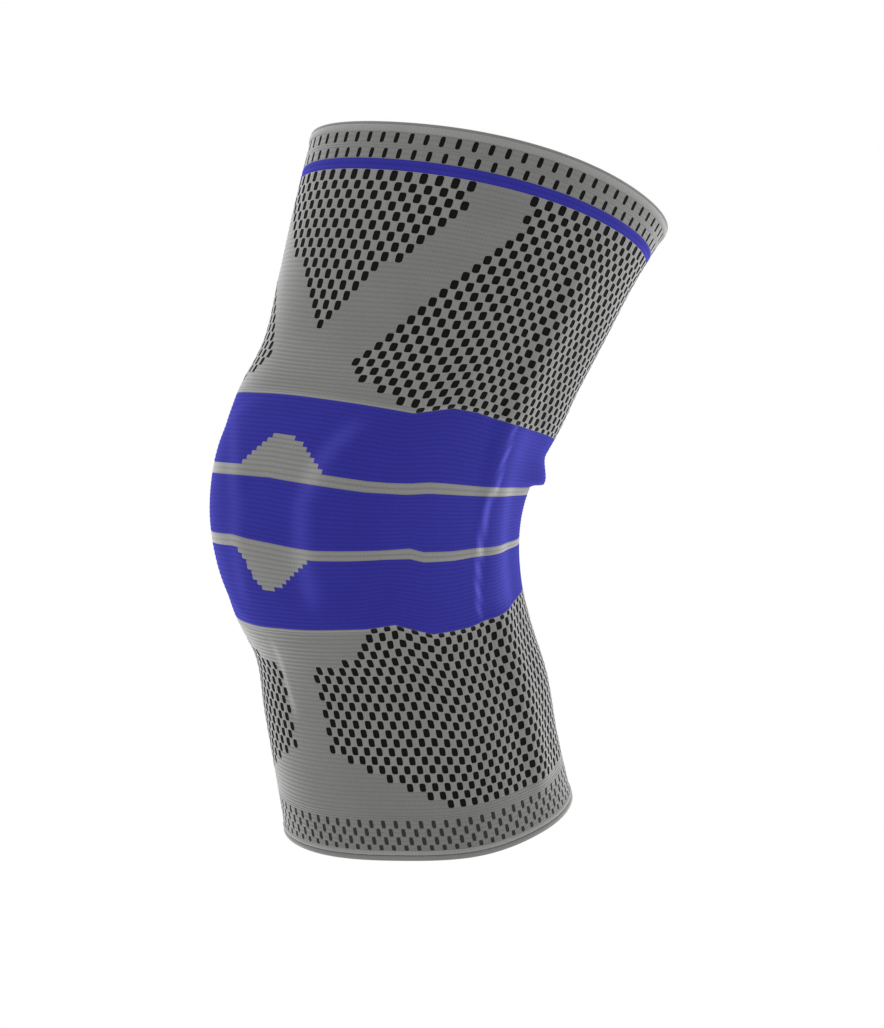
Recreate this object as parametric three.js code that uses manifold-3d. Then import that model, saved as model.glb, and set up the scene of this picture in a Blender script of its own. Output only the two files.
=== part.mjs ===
// Knee sleeve: a knitted tube in its worn shape, with a slightly bent knee.
// Millimetres, +Z up. The kneecap faces -Y, and the origin is the middle of the knee, inside the tube.
// "Along" is a place on the leg's middle line, from the origin up the thigh (+) or down the calf (-).
// "Angle" goes round the leg in degrees, from the front centre toward +X.

import * as THREE from 'three';
import Module from 'manifold-3d';

const wasm = await Module();
wasm.setup();
const { degToRad, clamp, smoothstep } = THREE.MathUtils;

// Leg: lengths along the middle line, leans from upright, and the stretch that bends between them
const thighLength = 155.4;
const calfLength = 140;
const thighLean = 31.5;
const calfLean = 17.5;
const bendLength = 96;

// Reach of the outer face from the middle line at the knee, which the sections below follow
const halfWidth = 58;
const frontReach = 66;
const backReach = 66;

// Knit wall, and the clearance between neighbouring pieces
const wall = 2;
const gap = 0.3;

// Rims: both hems, how far the top rim bows out of its plane at the sides, and how far the calf sags
const topHemHeight = 4.4;
const bottomHemHeight = 4.6;
const hemBulge = 0.6;
const rimBow = 2.4;
const calfSag = 5;

// Zones down from the top rim, and up from the bottom rim
const topCuffHeight = 11.4;
const topStripeHeight = 4.7;
const bottomCuffHeight = 15.4;

// Knee band: its edges above and below the knee, and the two thin stripes with their wedges
const bandRise = 39;
const bandDrop = 38.5;
const stripeWidth = 3.7;
const upperStripeRise = 10;
const lowerStripeDrop = 10;
const upperWedgeHeight = 10.8;
const lowerWedgeHeight = 11.3;

// Raised forms: the two side stays under the knit, the ring pad around the kneecap
const stayWidth = 17;
const stayHeight = 2.6;
const stayEdge = 3.5;
const padOuterRadius = 60;
const padInnerRadius = 19;
const padHeight = 0.9;
const padEdge = 6;

// Fold of slack knit behind the knee
const foldHeight = 5;
const foldSpan = 18;

// Fineness of the facets
const columnStep = 9;
const panelStep = 12;

// Leg sections, as shares of the sizes above: place on the calf (-) or thigh (+) length, half width,
// front and back reach, tilt of the section's plane as a share of that limb's lean, and how much
// fuller than an oval the section is halfway between front and side
const sections = [
  { place: -1.00, width: 1.055, front: 0.96, back: 0.965, tilt: -0.74, corner: 0.00 },
  { place: -0.80, width: 1.045, front: 0.94, back: 0.95, tilt: -0.69, corner: 0.00 },
  { place: -0.60, width: 1.04, front: 0.92, back: 0.98, tilt: -0.62, corner: 0.00 },
  { place: -0.42, width: 1.01, front: 0.94, back: 0.95, tilt: -0.55, corner: -0.01 },
  { place: -0.25, width: 1.01, front: 1.08, back: 0.86, tilt: -0.45, corner: 0.02 },
  { place: 0.00, width: 1.04, front: 1.21, back: 0.79, tilt: 0.05, corner: 0.06 },
  { place: 0.25, width: 1.06, front: 1.11, back: 1.04, tilt: 0.34, corner: 0.06 },
  { place: 0.42, width: 1.10, front: 1.01, back: 1.13, tilt: 0.44, corner: 0.03 },
  { place: 0.60, width: 1.18, front: 1.05, back: 1.16, tilt: 0.54, corner: 0.02 },
  { place: 0.80, width: 1.25, front: 1.11, back: 1.195, tilt: 0.62, corner: 0.02 },
  { place: 1.00, width: 1.29, front: 1.15, back: 1.30, tilt: 0.70, corner: 0.03 },
];

// How the calf's knit sags round the leg, as shares of calfSag
const sagWave = [
  { angle: -180, share: 0.3 },
  { angle: -120, share: 0.4 },
  { angle: -90, share: 0.2 },
  { angle: -40, share: -0.3 },
  { angle: 0, share: -0.1 },
  { angle: 25, share: 0.2 },
  { angle: 60, share: 1 },
  { angle: 90, share: 0.9 },
  { angle: 140, share: 0.45 },
  { angle: 180, share: 0.3 },
];

// Route of each side stay: angle from the front centre by place
const stayRoute = [
  { place: -1.00, angle: 96 },
  { place: -0.40, angle: 94 },
  { place: 0.00, angle: 90 },
  { place: 1.00, angle: 89 },
];

// Waves of the seams round the leg, as shares of the rise or drop that each seam follows
const bandTopWave = [
  { angle: -180, share: 0.97 },
  { angle: -88, share: 1.00 },
  { angle: -67, share: 1.05 },
  { angle: -49, share: 1.04 },
  { angle: 0, share: 1.00 },
  { angle: 29, share: 0.97 },
  { angle: 49, share: 0.94 },
  { angle: 62, share: 1.05 },
  { angle: 72, share: 1.05 },
  { angle: 88, share: 1.00 },
  { angle: 122, share: 0.97 },
  { angle: 180, share: 0.97 },
];
const bandBottomWave = [
  { angle: -180, share: 1.02 },
  { angle: -76, share: 1.12 },
  { angle: -55, share: 1.08 },
  { angle: -40, share: 1.00 },
  { angle: 0, share: 0.97 },
  { angle: 36, share: 0.99 },
  { angle: 47, share: 0.97 },
  { angle: 60, share: 1.13 },
  { angle: 76, share: 1.15 },
  { angle: 114, share: 1.05 },
  { angle: 180, share: 1.02 },
];
const upperStripeWave = [
  { angle: -180, share: 0.95 },
  { angle: -90, share: 0.95 },
  { angle: -45, share: 1.10 },
  { angle: 0, share: 1.08 },
  { angle: 26, share: 0.88 },
  { angle: 40, share: 0.76 },
  { angle: 54, share: 0.73 },
  { angle: 62, share: 0.79 },
  { angle: 82, share: 0.72 },
  { angle: 128, share: 0.76 },
  { angle: 180, share: 0.95 },
];
const lowerStripeWave = [
  { angle: -180, share: 1.42 },
  { angle: -90, share: 1.20 },
  { angle: -45, share: 0.77 },
  { angle: -18, share: 0.68 },
  { angle: -10, share: 0.78 },
  { angle: 0, share: 0.86 },
  { angle: 22, share: 1.05 },
  { angle: 56, share: 1.08 },
  { angle: 61, share: 1.25 },
  { angle: 72, share: 1.34 },
  { angle: 126, share: 1.42 },
  { angle: 180, share: 1.42 },
];

// Wedges that widen the stripes over and under the kneecap, as shares of their heights
const upperWedge = [
  { angle: -17, share: 0.00 },
  { angle: -9.5, share: 0.47 },
  { angle: -2, share: 1.00 },
  { angle: 7.5, share: 1.00 },
  { angle: 11, share: 0.85 },
  { angle: 19.5, share: 0.45 },
  { angle: 22, share: 0.15 },
  { angle: 25, share: 0.00 },
];
const lowerWedge = [
  { angle: -14.5, share: 0.00 },
  { angle: -12, share: 0.30 },
  { angle: -6, share: 0.95 },
  { angle: -4, share: 1.00 },
  { angle: 2, share: 0.98 },
  { angle: 6.5, share: 0.77 },
  { angle: 13.5, share: 0.37 },
  { angle: 20.5, share: 0.00 },
];

// Edges of the vented panels: place is the share of the way from the knee band to the far end
// of the plain knit, and angle is the edge's distance from the panel's or the shin's centre line
const frontVentEdge = [
  { place: 0.318, angle: 1.5 },
  { place: 0.42, angle: 7 },
  { place: 0.584, angle: 17.6 },
  { place: 0.626, angle: 26 },
  { place: 0.886, angle: 42 },
  { place: 1.00, angle: 41.3 },
];
const backVentEdge = [
  { place: 0.00, angle: 53 },
  { place: 0.07, angle: 37 },
  { place: 0.145, angle: 26 },
  { place: 0.18, angle: 22 },
  { place: 0.51, angle: 43 },
  { place: 0.76, angle: 59 },
  { place: 0.84, angle: 62.5 },
  { place: 1.00, angle: 61 },
];
const calfVentEdge = [
  { place: 0.00, angle: 43 },
  { place: 0.125, angle: 33 },
  { place: 0.15, angle: 26 },
  { place: 0.20, angle: 11 },
  { place: 0.25, angle: 10.5 },
  { place: 0.645, angle: 10.5 },
  { place: 0.76, angle: 25 },
  { place: 0.88, angle: 40 },
  { place: 0.965, angle: 54 },
];
// The vented panels sit this far round from the front centre
const thighTurn = -3.2;
const calfTurn = -4.6;

// Places of the seams that run straight round
const topCuffTop = thighLength - topHemHeight;
const topCuffBottom = topCuffTop - topCuffHeight;
const topStripeBottom = topCuffBottom - topStripeHeight;
const bottomCuffBottom = -calfLength + bottomHemHeight;
const bottomCuffTop = bottomCuffBottom + bottomCuffHeight;

// Value of a table's column at x, on straight lines between its rows
function onLine(table, key, column, x) {
  let next = table.findIndex((row) => row[key] > x);
  if (next < 0) next = table.length - 1;
  if (next === 0) next = 1;
  const from = table[next - 1];
  const to = table[next];
  const t = clamp((x - from[key]) / (to[key] - from[key]), 0, 1);
  return from[column] + (to[column] - from[column]) * t;
}

// Value of a table's column at x, on a smooth curve through its rows
function onCurve(table, key, column, x) {
  const last = table.length - 1;
  let i = table.findIndex((row) => row[key] > x) - 1;
  if (i < 0) i = x < table[0][key] ? 0 : last - 1;
  const slope = (row) => {
    const before = table[Math.max(row - 1, 0)];
    const after = table[Math.min(row + 1, last)];
    return (after[column] - before[column]) / (after[key] - before[key]);
  };
  const span = table[i + 1][key] - table[i][key];
  const t = (x - table[i][key]) / span;
  const t2 = t * t;
  const t3 = t2 * t;
  return (2 * t3 - 3 * t2 + 1) * table[i][column] + (t3 - 2 * t2 + t) * span * slope(i)
    + (3 * t2 - 2 * t3) * table[i + 1][column] + (t3 - t2) * span * slope(i + 1);
}

function placeOf(along) {
  return along > 0 ? along / thighLength : along / calfLength;
}

// Point of the leg's middle line, which bends evenly over bendLength and is straight beyond it
function middleLine(along) {
  const bent = clamp(along, -bendLength / 2, bendLength / 2);
  const rate = degToRad(thighLean + calfLean) / bendLength;
  const start = degToRad(thighLean - calfLean) / 2;
  const end = start + rate * bent;
  const straight = along - bent;
  return {
    y: (Math.cos(start) - Math.cos(end)) / rate + straight * Math.sin(end),
    z: (Math.sin(end) - Math.sin(start)) / rate + straight * Math.cos(end),
  };
}

// Place along the leg after the top rim's bow and the calf's sag
function bowedPlace(angle, along) {
  const place = placeOf(along);
  if (place > 0) return along + rimBow * place ** 3 * Math.sin(degToRad(angle)) ** 2;
  const sag = calfSag * onCurve(sagWave, 'angle', 'share', wrapped(angle));
  return along - sag * smoothstep(-place, 0, 0.8);
}

// Point of the smooth outer face
function legSurface(angle, along) {
  const turn = degToRad(angle);
  const bowed = bowedPlace(angle, along);
  const place = placeOf(bowed);
  const value = (column) => onCurve(sections, 'place', column, place);
  const tiltShare = value('tilt');
  const tilt = degToRad(tiltShare * (tiltShare > 0 ? thighLean : calfLean));
  const fuller = 1 + value('corner') * Math.sin(2 * turn) ** 2;
  const reach = Math.cos(turn) > 0 ? frontReach * value('front') : backReach * value('back');
  const forward = reach * Math.cos(turn) * fuller;
  const middle = middleLine(bowed);
  return new THREE.Vector3(
    halfWidth * value('width') * Math.sin(turn) * fuller,
    middle.y - forward * Math.cos(tilt),
    middle.z + forward * Math.sin(tilt),
  );
}

function outwardAt(angle, along) {
  const step = 0.5;
  const across = legSurface(angle + step, along).sub(legSurface(angle - step, along));
  const up = legSurface(angle, along + step).sub(legSurface(angle, along - step));
  return across.cross(up).normalize();
}

// Signed angle between -180 and 180
function wrapped(angle) {
  return THREE.MathUtils.euclideanModulo(angle + 180, 360) - 180;
}

// Height of the fold behind the knee: steep where it hangs over the stripe, then fading upward
function foldAt(angle, along) {
  const behind = smoothstep(Math.abs(wrapped(angle)), 92, 128);
  const t = (along - upperStripeTop(angle)) / foldSpan;
  return foldHeight * behind * smoothstep(t, 0, 0.25) * (1 - smoothstep(t, 0.28, 1));
}

// Height of a stay over the plain wall, faded out at both ends of the stay
function stayAt(angle, along) {
  const side = Math.abs(wrapped(angle)) - onCurve(stayRoute, 'place', 'angle', placeOf(along));
  const aside = Math.abs(degToRad(side)) * halfWidth;
  const across = 1 - smoothstep(aside, stayWidth / 2 - stayEdge, stayWidth / 2);
  const top = 1 - smoothstep(along, topStripeBottom - 2 * stayWidth, topStripeBottom);
  const bottom = smoothstep(along, bottomCuffTop - stayWidth / 2, bottomCuffTop + stayWidth / 2);
  return stayHeight * across * top * bottom;
}

// Height of the ring pad over the plain wall
function padAt(angle, along) {
  const radius = Math.hypot(degToRad(wrapped(angle)) * frontReach, along * 1.5);
  const outer = 1 - smoothstep(radius, padOuterRadius - padEdge, padOuterRadius + padEdge);
  return padHeight * outer * smoothstep(radius, padInnerRadius - padEdge, padInnerRadius + padEdge);
}

// Point at a depth outside (+) or inside (-) the plain wall's outer face. The fold carries the whole
// wall with it. The stays and the pad are under the outer face alone, so the inner one stays plain.
function wallPoint(angle, along, depth, raised) {
  const fold = foldAt(angle, along);
  const extra = raised ? stayAt(angle, along) + padAt(angle, along) : 0;
  return legSurface(angle, along).addScaledVector(outwardAt(angle, along), fold + extra + depth);
}

// Seams, each as the place along the leg at an angle
function wave(table, size) {
  return (angle) => size * onLine(table, 'angle', 'share', wrapped(angle));
}
function wedgeAt(table, height, angle) {
  const at = wrapped(angle);
  const outside = at < table[0].angle || at > table[table.length - 1].angle;
  return outside ? 0 : height * onLine(table, 'angle', 'share', at);
}
const bandTop = wave(bandTopWave, bandRise);
const bandBottom = wave(bandBottomWave, -bandDrop);
const upperStripeBottom = wave(upperStripeWave, upperStripeRise);
const lowerStripeTop = wave(lowerStripeWave, -lowerStripeDrop);
function upperStripeTop(angle) {
  return upperStripeBottom(angle) + stripeWidth + wedgeAt(upperWedge, upperWedgeHeight, angle);
}
function lowerStripeBottom(angle) {
  return lowerStripeTop(angle) - stripeWidth - wedgeAt(lowerWedge, lowerWedgeHeight, angle);
}

// Columns round the leg as turned from the stays: 90 lies on the stay, and each stay's crest and
// feet have columns of their own
const stayFoot = THREE.MathUtils.radToDeg(stayWidth / 2 / halfWidth);
const stayCrest = THREE.MathUtils.radToDeg((stayWidth / 2 - stayEdge) / halfWidth);
function ringColumns() {
  const columns = [];
  for (let column = 0; column < 90 - stayFoot - columnStep / 3; column += columnStep) columns.push(column);
  columns.push(90 - stayFoot, 90 - stayCrest);
  const half = columns.concat(columns.map((column) => 180 - column));
  const round = half.concat(half.map((column) => -column));
  return [...new Set(round.map((column) => wrapped(column)))].sort((a, b) => a - b);
}
const columns = ringColumns();

// Angle of a column at a place along the leg, so that the columns follow the stays
function columnAngle(column, along) {
  const stay = onCurve(stayRoute, 'place', 'angle', placeOf(along));
  const size = Math.abs(column);
  const turned = size <= 90 ? size * stay / 90 : 180 - (180 - size) * (180 - stay) / 90;
  return Math.sign(column) * turned;
}

function geometryOf(positions, triangles) {
  const geometry = new THREE.BufferGeometry();
  geometry.setAttribute('position', new THREE.Float32BufferAttribute(positions, 3));
  geometry.setIndex(triangles);
  geometry.computeVertexNormals();
  return geometry;
}

// Closed ring whose section is the loop of points that sectionAt gives for a column
function ringGeometry(sectionAt) {
  const positions = [];
  const triangles = [];
  for (const column of columns) {
    for (const point of sectionAt(column)) positions.push(point.x, point.y, point.z);
  }
  const size = positions.length / 3 / columns.length;
  const vertex = (i, j) => (i % columns.length) * size + (j % size);
  for (let i = 0; i < columns.length; i += 1) {
    for (let j = 0; j < size; j += 1) {
      triangles.push(vertex(i, j), vertex(i + 1, j), vertex(i + 1, j + 1));
      triangles.push(vertex(i, j), vertex(i + 1, j + 1), vertex(i, j + 1));
    }
  }
  return geometryOf(positions, triangles);
}

// Plain knit ring between two seams, with rows of facets at the given shares of its height
function knitRing(lowerSeam, upperSeam, rows) {
  return ringGeometry((column) => {
    const rough = columnAngle(column, (lowerSeam(column) + upperSeam(column)) / 2);
    const lower = lowerSeam(rough) + gap / 2;
    const upper = upperSeam(rough) - gap / 2;
    const places = rows.map((row) => lower + (upper - lower) * row);
    const outer = places.map((along) => wallPoint(columnAngle(column, along), along, 0, true));
    const inner = places.map((along) => wallPoint(columnAngle(column, along), along, -wall, false));
    return outer.concat(inner.reverse());
  });
}

function evenRows(count) {
  return Array.from({ length: count + 1 }, (_, row) => row / count);
}

// Rounded hem from its seam to its rim: rise is a share of the hem's height to the rim,
// out a share of its bulge, and the last row narrows to the rim's rounded edge
const hemSection = [
  { rise: 0.00, out: 0.0, narrow: 0.00 },
  { rise: 0.25, out: 1.0, narrow: 0.00 },
  { rise: 0.75, out: 1.0, narrow: 0.00 },
  { rise: 1.00, out: 0.0, narrow: 0.25 },
];
function hemRing(seam, rim) {
  const toRim = Math.sign(rim - seam);
  const start = seam + toRim * gap / 2;
  return ringGeometry((column) => {
    const angle = columnAngle(column, seam);
    const outer = [];
    const inner = [];
    for (const row of hemSection) {
      const along = start + (rim - start) * row.rise;
      const out = hemBulge * row.out - wall * row.narrow;
      outer.push(wallPoint(angle, along, out, true));
      inner.push(wallPoint(angle, along, -wall - out, false));
    }
    return toRim > 0 ? outer.concat(inner.reverse()) : outer.reverse().concat(inner);
  });
}

// Closed block that follows the wall between two edges, thicker than the wall on both faces.
// Each row holds its place along the leg and the angles of its two edges.
function panelBlock(rows) {
  const widest = Math.max(...rows.map((row) => row.to - row.from));
  const steps = Math.ceil(widest / panelStep);
  const positions = [];
  const triangles = [];
  for (const depth of [-2 * wall - foldHeight, 2 * wall + stayHeight]) {
    for (const row of rows) {
      for (let i = 0; i <= steps; i += 1) {
        const angle = row.from + (row.to - row.from) * i / steps;
        const point = legSurface(angle, row.along).addScaledVector(outwardAt(angle, row.along), depth);
        positions.push(point.x, point.y, point.z);
      }
    }
  }
  const vertex = (side, j, i) => (side * rows.length + j) * (steps + 1) + i;
  const quad = (a, b, c, d) => triangles.push(a, b, c, a, c, d);
  const top = rows.length - 1;
  for (let j = 0; j < top; j += 1) {
    for (let i = 0; i < steps; i += 1) {
      quad(vertex(1, j, i), vertex(1, j, i + 1), vertex(1, j + 1, i + 1), vertex(1, j + 1, i));
      quad(vertex(0, j, i), vertex(0, j + 1, i), vertex(0, j + 1, i + 1), vertex(0, j, i + 1));
    }
    quad(vertex(1, j, 0), vertex(1, j + 1, 0), vertex(0, j + 1, 0), vertex(0, j, 0));
    quad(vertex(1, j, steps), vertex(0, j, steps), vertex(0, j + 1, steps), vertex(1, j + 1, steps));
  }
  for (let i = 0; i < steps; i += 1) {
    quad(vertex(1, 0, i), vertex(0, 0, i), vertex(0, 0, i + 1), vertex(1, 0, i + 1));
    quad(vertex(1, top, i), vertex(1, top, i + 1), vertex(0, top, i + 1), vertex(0, top, i));
  }
  return solidOf(geometryOf(positions, triangles));
}

function solidOf(geometry) {
  const mesh = new wasm.Mesh({
    numProp: 3,
    vertProperties: geometry.getAttribute('position').array,
    triVerts: new Uint32Array(geometry.getIndex().array),
  });
  return new wasm.Manifold(mesh);
}
function geometryOfSolid(solid) {
  const mesh = solid.getMesh();
  return geometryOf(Array.from(mesh.vertProperties), Array.from(mesh.triVerts));
}

// Panel rows from an edge table: the panel lies inside the two mirrored edges or, round the back,
// outside them. It starts at nearSeam and its far row is farSeam. "Grow" widens it on all sides,
// across each edge's own slope.
function panelRows(edge, nearSeam, farSeam, behind, turn, grow) {
  const points = edge.map((row) => ({
    along: nearSeam + (farSeam - nearSeam) * row.place,
    arc: degToRad(row.angle) * halfWidth,
  }));
  const outwardSide = (behind ? -1 : 1) * Math.sign(farSeam - nearSeam);
  const rows = points.map((point, i) => {
    const before = points[Math.max(i - 1, 0)];
    const after = points[Math.min(i + 1, points.length - 1)];
    const run = after.along - before.along;
    const drift = after.arc - before.arc;
    const length = Math.hypot(run, drift);
    const half = THREE.MathUtils.radToDeg((point.arc + outwardSide * grow * run / length) / halfWidth);
    const along = point.along - outwardSide * grow * drift / length;
    return behind
      ? { along, from: turn + half, to: turn + 360 - half }
      : { along, from: turn - half, to: turn + half };
  });
  return rows.sort((a, b) => a.along - b.along);
}

// Rows continued past the panel's first or last row, so that the block passes the seam there
function pastSeam(rows, end) {
  const row = end > 0 ? rows[rows.length - 1] : rows[0];
  const extra = { ...row, along: row.along + end * 4 * wall };
  return end > 0 ? rows.concat(extra) : [extra].concat(rows);
}

const frontVentRows = (grow) => pastSeam(
  panelRows(frontVentEdge, bandRise, topStripeBottom, false, thighTurn, grow), 1);
const backVentRows = (grow) => pastSeam(pastSeam(
  panelRows(backVentEdge, bandRise, topStripeBottom, true, thighTurn, grow), 1), -1);
const calfVentRows = (grow) => pastSeam(
  panelRows(calfVentEdge, -bandDrop, bottomCuffTop, true, calfTurn, grow), 1);

// Cuts a ring into its panels and what is left of it, with the clearance between them
function cutRing(ring, panels) {
  const whole = solidOf(ring);
  const inlays = panels.map((rowsFor) => geometryOfSolid(whole.intersect(panelBlock(rowsFor(-gap / 2)))));
  const rest = panels.reduce((solid, rowsFor) => solid.subtract(panelBlock(rowsFor(gap / 2))), whole);
  return { inlays, rest: geometryOfSolid(rest) };
}

// Knits, with the colours of the grey, the blue and the black-flecked vented yarns
const greyKnit = new THREE.MeshStandardMaterial({ color: 0x767675, roughness: 0.95, metalness: 0 });
const blueKnit = new THREE.MeshStandardMaterial({ color: 0x2f2f84, roughness: 0.95, metalness: 0 });
const ventKnit = new THREE.MeshStandardMaterial({ color: 0x4c4c4c, roughness: 0.95, metalness: 0 });
const cuffKnit = new THREE.MeshStandardMaterial({ color: 0x696968, roughness: 0.95, metalness: 0 });

function piece(name, geometry, material) {
  const mesh = new THREE.Mesh(geometry, material);
  mesh.name = name;
  return mesh;
}

function thighPieces() {
  const group = new THREE.Group();
  const ring = knitRing(bandTop, () => topStripeBottom, evenRows(9));
  const { inlays, rest } = cutRing(ring, [frontVentRows, backVentRows]);
  const cuff = knitRing(() => topCuffBottom, () => topCuffTop, evenRows(2));
  const stripe = knitRing(() => topStripeBottom, () => topCuffBottom, evenRows(1));
  group.add(piece('top_hem', hemRing(topCuffTop, thighLength), greyKnit));
  group.add(piece('top_cuff', cuff, cuffKnit));
  group.add(piece('top_stripe', stripe, blueKnit));
  group.add(piece('thigh_knit', rest, greyKnit));
  group.add(piece('thigh_front_vent', inlays[0], ventKnit));
  group.add(piece('thigh_back_vent', inlays[1], ventKnit));
  return group;
}

function kneePieces() {
  const group = new THREE.Group();
  const foldRows = [0, 0.11, 0.24, 0.42, 0.7, 1];
  group.add(piece('knee_band_upper', knitRing(upperStripeTop, bandTop, foldRows), blueKnit));
  group.add(piece('knee_stripe_upper', knitRing(upperStripeBottom, upperStripeTop, evenRows(1)), greyKnit));
  group.add(piece('knee_band_middle', knitRing(lowerStripeTop, upperStripeBottom, evenRows(3)), blueKnit));
  group.add(piece('knee_stripe_lower', knitRing(lowerStripeBottom, lowerStripeTop, evenRows(1)), greyKnit));
  group.add(piece('knee_band_lower', knitRing(bandBottom, lowerStripeBottom, evenRows(4)), blueKnit));
  return group;
}

function calfPieces() {
  const group = new THREE.Group();
  const ring = knitRing(() => bottomCuffTop, bandBottom, evenRows(9));
  const { inlays, rest } = cutRing(ring, [calfVentRows]);
  const cuff = knitRing(() => bottomCuffBottom, () => bottomCuffTop, evenRows(2));
  group.add(piece('calf_knit', rest, greyKnit));
  group.add(piece('calf_vent', inlays[0], ventKnit));
  group.add(piece('bottom_cuff', cuff, cuffKnit));
  group.add(piece('bottom_hem', hemRing(bottomCuffBottom, -calfLength), greyKnit));
  return group;
}

const kneeSleeve = new THREE.Group();
kneeSleeve.add(thighPieces(), kneePieces(), calfPieces());

export default kneeSleeve;
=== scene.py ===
# Knee sleeve: the knitted tube in its worn shape, cell by cell, with its dots, ribs and rolled
# hems. Sizes are in millimetres, and the meshes are made in metres. A place on the tube is a height
# along the leg, 0 at the knee, and an angle in degrees from the front centre toward +X.
import math

import bpy
import numpy as np
from mathutils import Matrix, Vector


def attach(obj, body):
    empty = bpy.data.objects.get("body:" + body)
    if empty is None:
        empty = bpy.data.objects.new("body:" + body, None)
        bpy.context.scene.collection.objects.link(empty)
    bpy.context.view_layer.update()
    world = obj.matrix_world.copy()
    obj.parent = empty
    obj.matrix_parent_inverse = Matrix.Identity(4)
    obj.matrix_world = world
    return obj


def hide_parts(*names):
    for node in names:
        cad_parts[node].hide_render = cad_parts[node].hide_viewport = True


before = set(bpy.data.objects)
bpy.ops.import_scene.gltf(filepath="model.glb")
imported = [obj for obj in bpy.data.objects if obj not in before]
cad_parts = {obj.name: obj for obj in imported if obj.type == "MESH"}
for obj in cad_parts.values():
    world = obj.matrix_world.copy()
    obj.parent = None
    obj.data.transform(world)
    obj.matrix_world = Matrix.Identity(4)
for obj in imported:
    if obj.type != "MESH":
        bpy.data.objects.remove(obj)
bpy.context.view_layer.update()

MM = 0.001

# Leg: the same lengths, leans and reaches that the solids have
THIGH_LENGTH, CALF_LENGTH = 155.4, 140.0
THIGH_LEAN, CALF_LEAN = math.radians(31.5), math.radians(17.5)
BEND_LENGTH = 96.0
HALF_WIDTH, FRONT_REACH, BACK_REACH = 58.0, 66.0, 66.0
RIM_BOW, CALF_SAG = 2.4, 5.0
WALL = 2.0

# Zones down from the top rim, and up from the bottom rim
TOP_HEM, BOTTOM_HEM = 4.4, 4.6
TOP_CUFF_TOP = THIGH_LENGTH - TOP_HEM
TOP_CUFF_BOTTOM = 139.6
TOP_STRIPE_BOTTOM = 134.9
BOTTOM_CUFF_BOTTOM = BOTTOM_HEM - CALF_LENGTH
BOTTOM_CUFF_TOP = -120.0
BAND_RISE, BAND_DROP = 39.0, 38.5
STRIPE_WIDTH = 3.7
UPPER_STRIPE_RISE, LOWER_STRIPE_DROP = 10.0, 10.0
UPPER_WEDGE_HEIGHT, LOWER_WEDGE_HEIGHT = 10.8, 11.3

# Stays under the knit: rounded over STAY_EDGE in front, and faded out over STAY_FADE behind
STAY_WIDTH, STAY_HEIGHT, STAY_EDGE, STAY_FADE = 19.0, 2.6, 7.5, 16.0

# Pad round the kneecap, a ring of these radii that is PAD_SQUASH times as wide as it is high
PAD_OUTER, PAD_INNER, PAD_HEIGHT, PAD_EDGE = 60.0, 19.0, 0.9, 6.0
PAD_SQUASH = 1.5

# Fold of slack cloth behind the knee: the angles where it starts and is whole, and the shares of
# its span at which it has swelled and begins to die out
FOLD_HEIGHT, FOLD_SPAN = 5.0, 18.0
FOLD_START, FOLD_WHOLE = 92, 128
FOLD_SWELL, FOLD_FALL = 0.25, 0.28

# Leg sections: the place as a share of the calf (-) or thigh (+), then half width, front reach,
# back reach and tilt as shares of the lengths and leans above, and how much fuller the corners are
SECTIONS = np.array([
    (-1.00, 1.055, 0.96, 0.965, -0.74, 0.00),
    (-0.80, 1.045, 0.94, 0.95, -0.69, 0.00),
    (-0.60, 1.04, 0.92, 0.98, -0.62, 0.00),
    (-0.42, 1.01, 0.94, 0.95, -0.55, -0.01),
    (-0.25, 1.01, 1.08, 0.86, -0.45, 0.02),
    (0.00, 1.04, 1.21, 0.79, 0.05, 0.06),
    (0.25, 1.06, 1.11, 1.04, 0.34, 0.06),
    (0.42, 1.10, 1.01, 1.13, 0.44, 0.03),
    (0.60, 1.18, 1.05, 1.16, 0.54, 0.02),
    (0.80, 1.25, 1.11, 1.195, 0.62, 0.02),
    (1.00, 1.29, 1.15, 1.30, 0.70, 0.03),
])
# Centre line of a stay: that same place, and the angle
STAY_ROUTE = np.array([(-1.0, 96), (-0.4, 94), (0.0, 90), (1.0, 89)])

# How the calf's knit sags round the leg, as shares of CALF_SAG. It is whole from this share of the
# calf's length on.
SAG_WHOLE = 0.8
SAG_WAVE = np.array([(-180, .3), (-120, .4), (-90, .2), (-40, -.3), (0, -.1), (25, .2), (60, 1),
                     (90, .9), (140, .45), (180, .3)])

# Waves of the seams round the leg and shapes of the wedges: angle, and share of the height
BAND_TOP_WAVE = [(-180, .97), (-88, 1), (-67, 1.05), (-49, 1.04), (0, 1), (29, .97), (49, .94),
                 (62, 1.05), (72, 1.05), (88, 1), (122, .97), (180, .97)]
BAND_BOTTOM_WAVE = [(-180, 1.02), (-76, 1.12), (-55, 1.08), (-40, 1), (0, .97), (36, .99),
                    (47, .97), (60, 1.13), (76, 1.15), (114, 1.05), (180, 1.02)]
UPPER_STRIPE_WAVE = [(-180, .95), (-90, .95), (-45, 1.1), (0, 1.08), (26, .88), (40, .76),
                     (54, .73), (62, .79), (82, .72), (128, .76), (180, .95)]
LOWER_STRIPE_WAVE = [(-180, 1.42), (-90, 1.2), (-45, .77), (-18, .68), (-10, .78), (0, .86),
                     (22, 1.05), (56, 1.08), (61, 1.25), (72, 1.34), (126, 1.42), (180, 1.42)]
UPPER_WEDGE = [(-17, 0), (-9.5, .47), (-2, 1), (7.5, 1), (11, .85), (19.5, .45), (22, .15),
               (25, 0)]
LOWER_WEDGE = [(-14.5, 0), (-12, .3), (-6, .95), (-4, 1), (2, .98), (6.5, .77), (13.5, .37),
               (20.5, 0)]

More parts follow.
